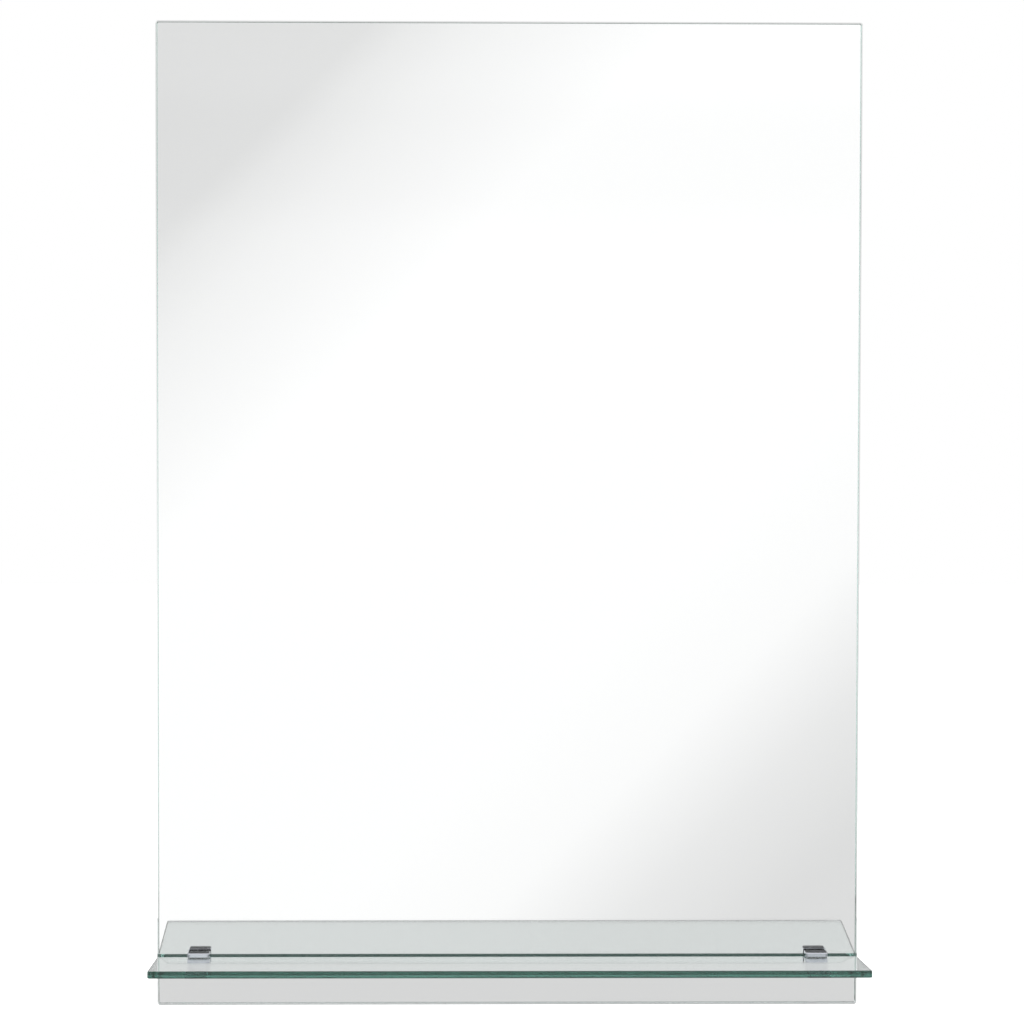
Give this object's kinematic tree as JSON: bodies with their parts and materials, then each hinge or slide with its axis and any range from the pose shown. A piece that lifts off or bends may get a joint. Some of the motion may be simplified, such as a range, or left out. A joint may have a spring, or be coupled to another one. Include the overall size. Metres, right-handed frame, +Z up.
{
  "type": "wall mirror with glass shelf",
  "caption": "Frameless rectangular wall mirror with a glass shelf along its foot, held by small chromed clamps fixed through the mirror, on keyhole hanger plates.",
  "frame": {"origin": "on the wall plane, midway between the entry holes of the two hanger keyholes", "axes": "+X to the viewer's right, +Y from the room into the wall, +Z up"},
  "size_m": [0.5, 0.114, 0.7],
  "materials": {
    "mirror_pane": "clear float glass, polished edges",
    "silvering": "silver coating",
    "backing": "grey paint under a safety film",
    "shelf_pane": "clear tempered float glass, polished edges",
    "clamp_chrome": "bright chrome on die-cast zinc",
    "clear_vinyl": "clear soft vinyl",
    "nylon": "natural nylon",
    "dark_steel": "black oxide",
    "zinc_steel": "bright zinc plating",
    "hanger_steel": "pressed galvanised sheet",
    "foam_tape": "white acrylic foam tape",
    "bumper_rubber": "translucent polyurethane"
  },
  "bodies": {
    "mirror_unit": {"mirror_glass": "mirror_pane", "silver_layer": "silvering", "backing_film": "backing", "left_clamp_body": "clamp_chrome", "right_clamp_body": "clamp_chrome", "left_slot_liner": "clear_vinyl", "right_slot_liner": "clear_vinyl", "left_clamp_gasket": "clear_vinyl", "right_clamp_gasket": "clear_vinyl", "left_hole_sleeve": "nylon", "right_hole_sleeve": "nylon", "left_washer": "zinc_steel", "right_washer": "zinc_steel", "left_fixing_screw": "zinc_steel", "right_fixing_screw": "zinc_steel", "left_hanger_plate": "hanger_steel", "right_hanger_plate": "hanger_steel", "left_hanger_tape": "foam_tape", "right_hanger_tape": "foam_tape", "left_bumper": "bumper_rubber", "right_bumper": "bumper_rubber"},
    "shelf": {"shelf_glass": "shelf_pane"},
    "left_pad": {"left_pressure_pad": "nylon"},
    "right_pad": {"right_pressure_pad": "nylon"},
    "left_screw": {"left_set_screw": "dark_steel"},
    "right_screw": {"right_set_screw": "dark_steel"}
  },
  "joints": [
    {"name": "shelf_slide", "type": "slide", "parent": "mirror_unit", "child": "shelf", "axis": [0, -0.9971, 0.0767], "range_m": [0, 0.01]},
    {"name": "left_pad_travel", "type": "slide", "parent": "mirror_unit", "child": "left_pad", "axis": [0, -0.0767, -0.9971], "range_m": [0, 0.0014]},
    {"name": "right_pad_travel", "type": "slide", "parent": "mirror_unit", "child": "right_pad", "axis": [0, -0.0767, -0.9971], "range_m": [0, 0.0014]},
    {"name": "left_screw_turn", "type": "hinge", "parent": "left_pad", "child": "left_screw", "pos_m": [-0.22, -0.02046, -0.61415], "axis": [0, -0.0767, -0.9971], "range_deg": [0, 720]},
    {"name": "right_screw_turn", "type": "hinge", "parent": "right_pad", "child": "right_screw", "pos_m": [0.22, -0.02046, -0.61415], "axis": [0, -0.0767, -0.9971], "range_deg": [0, 720]}
  ],
  "couplings": [
    {"joint": "left_screw_turn", "follows": "left_pad_travel", "rad_per_m": 8976},
    {"joint": "right_screw_turn", "follows": "right_pad_travel", "rad_per_m": 8976}
  ]
}
